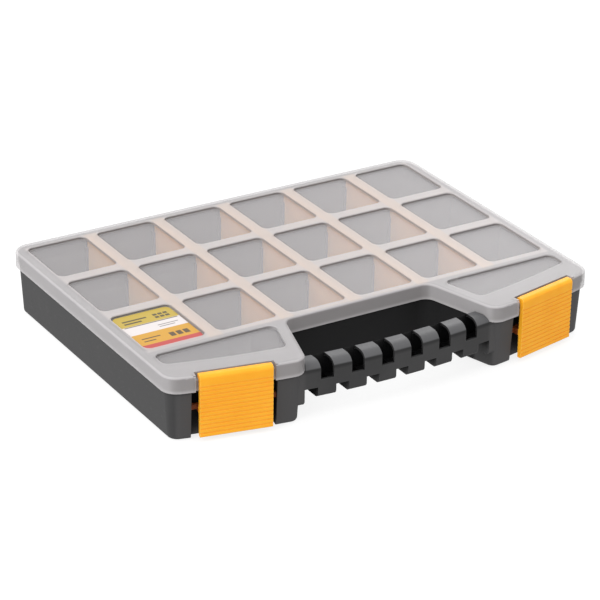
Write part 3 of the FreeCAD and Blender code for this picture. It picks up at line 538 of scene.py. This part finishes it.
def lid_finish(chosen):
    """Milky see-through plastic: hazy panes, denser ribs and fine scratches, with painted
    highlights on the edges, shoulder and lip, and painted shade in the window recesses and on the
    skirt's front.
    """
    finish, tree, surface = new_finish("milky_moulding")
    spot = place(tree)
    hides, where = lid_haze(tree, chosen, spot)
    cloud = noise(tree, spot, spacing=0.05, detail=3.0, rough=0.5)
    fine = noise(tree, stretched(tree, spot, (1.0, 30.0, 1.0), 0.5),
                 spacing=0.03, detail=3.0, rough=0.6)
    cross = noise(tree, stretched(tree, spot, (26.0, 1.0, 1.0), 0.3),
                  spacing=0.03, detail=3.0, rough=0.6)
    scratch = either(tree, ramp(tree, fine, 0.66, 0.72), ramp(tree, cross, 0.67, 0.73))
    # Painted highlight along the lid's edges: paler and a little denser
    edge = edge_mask(tree, radius=0.0007)
    pale = tuple(min(1.0, 1.05 * c) for c in chosen.tone)
    body = blend(tree, mottle(tree, cloud), chosen.tone, pale)
    body = blend(tree, where["ribs"], body, chosen.ribs)
    body = blend(tree, calc(tree, "MULTIPLY", edge, 0.5), body, chosen.clear)
    body = blend(tree, where["pane"], body, chosen.clear)
    body = blend(tree, where["warm"], body, chosen.warm)
    # Painted shade on the skirt's front and the recess walls, painted highlight on the shoulder and
    # lip
    body = blend(tree, where["front"], body, chosen.front)
    body = blend(tree, where["bright"], body, chosen.bright)
    body = blend(tree, where["recess"], body, chosen.recess)
    body = blend(tree, where["shaded"], body, chosen.shaded)
    feed(tree, surface.inputs["Base Color"], body)
    # Painted highlights are also made denser, so they read whiter
    hides = calc(tree, "MULTIPLY_ADD", where["bright"], 0.12, hides)
    hides = calc(tree, "MULTIPLY_ADD", edge, 0.06, hides)
    hides = calc(tree, "MULTIPLY_ADD", scratch, 0.02, hides, clamp=True)
    feed(tree, surface.inputs["Alpha"], hides)
    rough = slide(tree, mottle(tree, cloud), 0.34, 0.44)
    feed(tree, surface.inputs["Roughness"], calc(tree, "MULTIPLY_ADD", scratch, 0.15, rough))
    ripple = noise(tree, spot, spacing=0.0016)
    lines = calc(tree, "MULTIPLY_ADD", scratch, -0.6, ripple)
    feed(tree, surface.inputs["Normal"], relief(tree, lines, strength=0.10, distance=0.00008))
    surface.inputs["IOR"].default_value = PLASTIC_IOR
    return finish


def latch_finish(chosen):
    """Satin amber plastic with faint flow lines, a painted highlight along the edges, and painted
    shade in the grooves and on the lugs and trunnions.
    """
    finish, tree, surface = new_finish("satin_amber")
    spot = place(tree)
    cloud = noise(tree, spot, spacing=0.018, detail=4.0, rough=0.55)
    flow = noise(tree, stretched(tree, spot, (1.0, 1.0, 0.12)),
                 spacing=0.004, detail=4.0, rough=0.6)
    edge = edge_mask(tree, radius=0.0008)
    body = blend(tree, mottle(tree, cloud), chosen.deep, chosen.tone)
    # Painted highlight along the latches' edges
    pale = calc(tree, "MULTIPLY", edge, chosen.wear_and_highlight)
    body = blend(tree, pale, body, chosen.bright)
    # Painted shade in the grooves, where ambient occlusion finds them hidden
    body = blend(tree, shelter(tree, reach=0.0012, low=0.55, high=0.95), body, chosen.groove_shade)
    # Painted shade on the lugs and trunnions behind the latch plate
    x, y, z = axes(tree, spot)
    beside = calc(tree, "ADD", calc(tree, "ABSOLUTE", x), -PIVOT.x)
    behind = calc(tree, "ADD", y, -PIVOT.y)
    out = calc(tree, "MULTIPLY_ADD", beside, PIVOT_OUT.x,
               calc(tree, "MULTIPLY", behind, PIVOT_OUT.y))
    above = calc(tree, "ABSOLUTE", calc(tree, "ADD", z, -PIVOT.z))
    reach = chosen.pivot_reach
    painted_pivot_shade = both(tree, under(tree, out, LUG_FRONT, soft=0.0003),
                  ramp(tree, above, reach - 0.001, reach, 1.0, 0.0))
    feed(tree, surface.inputs["Base Color"], blend(tree, painted_pivot_shade, body, chosen.pivot))
    rough = slide(tree, mottle(tree, flow), 0.44, 0.50)
    feed(tree, surface.inputs["Roughness"], rough)
    surface.inputs["Specular IOR Level"].default_value = 0.32
    grain = noise(tree, spot, spacing=0.0005)
    feed(tree, surface.inputs["Normal"], relief(tree, grain, strength=0.12, distance=0.0001))
    surface.inputs["IOR"].default_value = PLASTIC_IOR
    surface.inputs["Subsurface Weight"].default_value = 0.12
    surface.inputs["Subsurface Radius"].default_value = (0.0022, 0.0009, 0.0003)
    surface.inputs["Subsurface Scale"].default_value = 1.0
    return finish


def divider_finish(chosen):
    """Satin sand-coloured plastic, lightly mottled."""
    finish, tree, surface = new_finish("satin_sand")
    spot = place(tree)
    cloud = noise(tree, spot, spacing=0.02, detail=4.0, rough=0.55)
    flow = noise(tree, stretched(tree, spot, (1.0, 0.15, 1.0)),
                 spacing=0.004, detail=3.0, rough=0.6)
    edge = edge_mask(tree, radius=0.0006)
    pale = tuple(min(1.0, 1.08 * c + 0.03) for c in chosen.tone)
    body = blend(tree, mottle(tree, cloud), chosen.shade, chosen.tone)
    feed(tree, surface.inputs["Base Color"], blend(tree, edge, body, pale))
    feed(tree, surface.inputs["Roughness"], slide(tree, mottle(tree, flow), 0.42, 0.56))
    grain = noise(tree, spot, spacing=0.0006)
    feed(tree, surface.inputs["Normal"], relief(tree, grain, strength=0.12, distance=0.0001))
    surface.inputs["IOR"].default_value = PLASTIC_IOR
    return finish


def patch(tree, across, along, low_x, high_x, low_y, high_y):
    """One inside a printed rectangle, given as shares of the card's width and depth."""
    soft = 0.006
    return both(tree, between(tree, across, low_x, high_x, soft),
                between(tree, along, low_y, high_y, soft))


def label_finish(chosen):
    """Printed card: header, pale band, body band and footer, with plain bars and squares."""
    finish, tree, surface = new_finish("printed_card")
    spot = place(tree)
    x, y, _ = axes(tree, spot)
    size = CARD_HIGH - CARD_LOW
    across = calc(tree, "MULTIPLY_ADD", x, 1 / size.x, -CARD_LOW.x / size.x)
    along = calc(tree, "MULTIPLY_ADD", y, 1 / size.y, -CARD_LOW.y / size.y)
    seam = 0.005
    print_ = blend(tree, over(tree, along, 0.69, seam), chosen.paper, chosen.header)
    print_ = blend(tree, under(tree, along, 0.44, seam), print_, chosen.body)
    print_ = blend(tree, under(tree, along, 0.13, seam), print_, chosen.footer)
    # Bars, then two rows of small squares and one of larger ones
    rules = [
        (0.04, 0.96, 0.665, 0.685),
        (0.10, 0.40, 0.755, 0.79),
        (0.10, 0.52, 0.825, 0.86),
        (0.10, 0.30, 0.21, 0.235),
        (0.10, 0.42, 0.285, 0.31),
        (0.55, 0.90, 0.56, 0.575),
        (0.55, 0.82, 0.51, 0.525),
    ]
    for column in range(3):
        for row in range(2):
            left, low = 0.64 + 0.09 * column, 0.755 + 0.075 * row
            rules.append((left, left + 0.07, low, low + 0.052))
    for column in range(3):
        left = 0.56 + 0.12 * column
        rules.append((left, left + 0.09, 0.20, 0.31))
    ink = 0.0
    for low_x, high_x, low_y, high_y in rules:
        ink = either(tree, ink, patch(tree, across, along, low_x, high_x, low_y, high_y))
    fibre = noise(tree, spot, spacing=0.0007, detail=3.0, rough=0.6)
    worn = ramp(tree, noise(tree, spot, spacing=0.004, detail=4.0, rough=0.6), 0.66, 0.8)
    ink = calc(tree, "MULTIPLY", ink, slide(tree, fibre, 0.78, 0.98))
    print_ = blend(tree, ink, print_, chosen.ink)
    print_ = blend(tree, calc(tree, "MULTIPLY", worn, 0.25), print_, chosen.paper)
    feed(tree, surface.inputs["Base Color"], print_)
    feed(tree, surface.inputs["Roughness"], slide(tree, fibre, 0.36, 0.56))
    feed(tree, surface.inputs["Normal"], relief(tree, fibre, strength=0.08, distance=0.00005))
    surface.inputs["IOR"].default_value = CARD_IOR
    return finish


# Stage

def floor_finish(chosen):
    """Pale seamless floor with a faint unevenness."""
    finish, tree, surface = new_finish("pale_floor")
    cloud = noise(tree, place(tree), spacing=0.4, detail=3.0, rough=0.5)
    deep = tuple(0.985 * c for c in chosen.floor)
    feed(tree, surface.inputs["Base Color"], blend(tree, cloud, deep, chosen.floor))
    surface.inputs["Roughness"].default_value = 0.85
    surface.inputs["Specular IOR Level"].default_value = 0.0
    surface.inputs["Emission Color"].default_value = (1.0, 1.0, 1.0, 1.0)
    surface.inputs["Emission Strength"].default_value = 0.80
    return finish


def add_floor(chosen):
    """Large level floor just under the tray."""
    half = 6.0
    low = CAD_BOX[0].z - 0.0002
    mesh = bpy.data.meshes.new("floor")
    corners = [(-half, -half, low), (half, -half, low), (half, half, low), (-half, half, low)]
    mesh.from_pydata(corners, [], [(0, 1, 2, 3)])
    floor = bpy.data.objects.new("floor", mesh)
    bpy.context.scene.collection.objects.link(floor)
    mesh.materials.append(floor_finish(chosen))
    floor.visible_diffuse = False
    floor.visible_glossy = False
    floor.visible_shadow = False


def add_sky(chosen):
    """Soft light from all round, strongest from above."""
    world = bpy.data.worlds.new("studio")
    world.use_nodes = True
    tree = world.node_tree
    glow = tree.nodes["Background"]
    glow.inputs["Color"].default_value = (1.0, 1.0, 1.0, 1.0)
    lean = tree.nodes.new("ShaderNodeVectorMath")
    lean.operation = "DOT_PRODUCT"
    lean.inputs[1].default_value = (-0.30, 0.15, 0.94)
    tree.links.new(tree.nodes.new("ShaderNodeTexCoord").outputs["Generated"], lean.inputs[0])
    reach = (chosen.sky - chosen.shade) / 2
    strength = calc(tree, "MULTIPLY_ADD", lean.outputs["Value"], reach, chosen.shade + reach)
    feed(tree, glow.inputs["Strength"], strength)
    bpy.context.scene.world = world


def add_softbox(name, spot, aim, width, power):
    """Square softbox that faces a point."""
    lamp = bpy.data.lights.new(name, "AREA")
    lamp.shape = "SQUARE"
    lamp.size = width
    lamp.energy = power
    item = bpy.data.objects.new(name, lamp)
    item.location = spot
    item.rotation_mode = "QUATERNION"
    item.rotation_quaternion = (Vector(aim) - Vector(spot)).to_track_quat("-Z", "Y")
    bpy.context.scene.collection.objects.link(item)


def add_camera(chosen):
    """Camera at the picture's own angle."""
    eye, target = Vector(chosen.eye), Vector(chosen.target)
    forward = (target - eye).normalized()
    level = forward.cross(Vector((0, 0, 1))).normalized()
    rise = level.cross(forward)
    turn = chosen.roll
    right = math.cos(turn) * level + math.sin(turn) * rise
    up = math.cos(turn) * rise - math.sin(turn) * level
    lens = bpy.data.cameras.new("camera")
    lens.sensor_width = 36.0
    lens.lens = chosen.lens
    lens.clip_start, lens.clip_end = 0.05, 50.0
    camera = bpy.data.objects.new("camera", lens)
    camera.matrix_world = Matrix((
        (right.x, up.x, -forward.x, eye.x),
        (right.y, up.y, -forward.y, eye.y),
        (right.z, up.z, -forward.z, eye.z),
        (0.0, 0.0, 0.0, 1.0)))
    bpy.context.scene.collection.objects.link(camera)
    bpy.context.scene.camera = camera


# Operators

class ORGANIZER_OT_tray(bpy.types.Operator):
    """Give the base tray its matt grained finish."""

    bl_idname = "organizer.tray"
    bl_label = "Finish Base Tray"

    def execute(self, context):
        wear_finish(["base_tray"], tray_finish(context.scene.organizer_tray))
        return {"FINISHED"}


class ORGANIZER_OT_dividers(bpy.types.Operator):
    """Give the fifteen loose dividers their sand-coloured finish."""

    bl_idname = "organizer.dividers"
    bl_label = "Finish Dividers"

    def execute(self, context):
        wear_finish(DIVIDER_NODES, divider_finish(context.scene.organizer_divider))
        return {"FINISHED"}


class ORGANIZER_OT_lid(bpy.types.Operator):
    """Give the lid its milky see-through finish."""

    bl_idname = "organizer.lid"
    bl_label = "Finish Lid"

    def execute(self, context):
        wear_finish(["lid"], lid_finish(context.scene.organizer_lid))
        return {"FINISHED"}


class ORGANIZER_OT_latches(bpy.types.Operator):
    """Give the two latches their satin amber finish."""

    bl_idname = "organizer.latches"
    bl_label = "Finish Latches"

    def execute(self, context):
        wear_finish(LATCH_NODES, latch_finish(context.scene.organizer_latch))
        return {"FINISHED"}


class ORGANIZER_OT_label(bpy.types.Operator):
    """Print the label card."""

    bl_idname = "organizer.label"
    bl_label = "Print Label Card"

    def execute(self, context):
        wear_finish(["label_card"], label_finish(context.scene.organizer_label))
        return {"FINISHED"}


class ORGANIZER_OT_stage(bpy.types.Operator):
    """Set the floor, the lights and the camera."""

    bl_idname = "organizer.stage"
    bl_label = "Set Stage"

    def execute(self, context):
        chosen = context.scene.organizer_stage
        add_floor(chosen)
        add_sky(chosen)
        add_softbox("left_softbox", (-1.5, -0.4, 1.2), (0, 0, 0), 1.0, chosen.key)
        add_softbox("rear_softbox", (1.1, 0.8, 0.8), (0, 0, 0), 0.8, chosen.rim_light)
        add_camera(chosen)
        context.scene.view_settings.view_transform = "Standard"
        context.scene.cycles.transparent_max_bounces = 32
        return {"FINISHED"}


class ORGANIZER_PT_panel(bpy.types.Panel):
    """Lists the operators and the settings they read."""

    bl_idname = "ORGANIZER_PT_panel"
    bl_label = "Organizer Case"
    bl_space_type = "VIEW_3D"
    bl_region_type = "UI"
    bl_category = "Organizer"

    def draw(self, context):
        for step, holder in STEPS:
            block = self.layout.box()
            block.operator(step.bl_idname)
            settings = getattr(context.scene, holder)
            for name in settings.bl_rna.properties.keys():
                if name not in ("rna_type", "name"):
                    block.prop(settings, name)


STEPS = [
    (ORGANIZER_OT_tray, "organizer_tray"),
    (ORGANIZER_OT_dividers, "organizer_divider"),
    (ORGANIZER_OT_lid, "organizer_lid"),
    (ORGANIZER_OT_latches, "organizer_latch"),
    (ORGANIZER_OT_label, "organizer_label"),
    (ORGANIZER_OT_stage, "organizer_stage"),
]

SETTINGS = {
    "organizer_tray": OrganizerTraySettings,
    "organizer_divider": OrganizerDividerSettings,
    "organizer_lid": OrganizerLidSettings,
    "organizer_latch": OrganizerLatchSettings,
    "organizer_label": OrganizerLabelSettings,
    "organizer_stage": OrganizerStageSettings,
}


def register():
    """Make the settings, operators and panel known to Blender."""
    for holder, group in SETTINGS.items():
        bpy.utils.register_class(group)
        setattr(bpy.types.Scene, holder, bpy.props.PointerProperty(type=group))
    for step, _ in STEPS:
        bpy.utils.register_class(step)
    bpy.utils.register_class(ORGANIZER_PT_panel)


def unregister():
    """Take them out again."""
    bpy.utils.unregister_class(ORGANIZER_PT_panel)
    for step, _ in reversed(STEPS):
        bpy.utils.unregister_class(step)
    for holder, group in SETTINGS.items():
        delattr(bpy.types.Scene, holder)
        bpy.utils.unregister_class(group)


def main():
    """Run every step in order."""
    register()
    bpy.ops.organizer.tray()
    bpy.ops.organizer.dividers()
    bpy.ops.organizer.lid()
    bpy.ops.organizer.latches()
    bpy.ops.organizer.label()
    bpy.ops.organizer.stage()


if __name__ == "__main__":
    main()
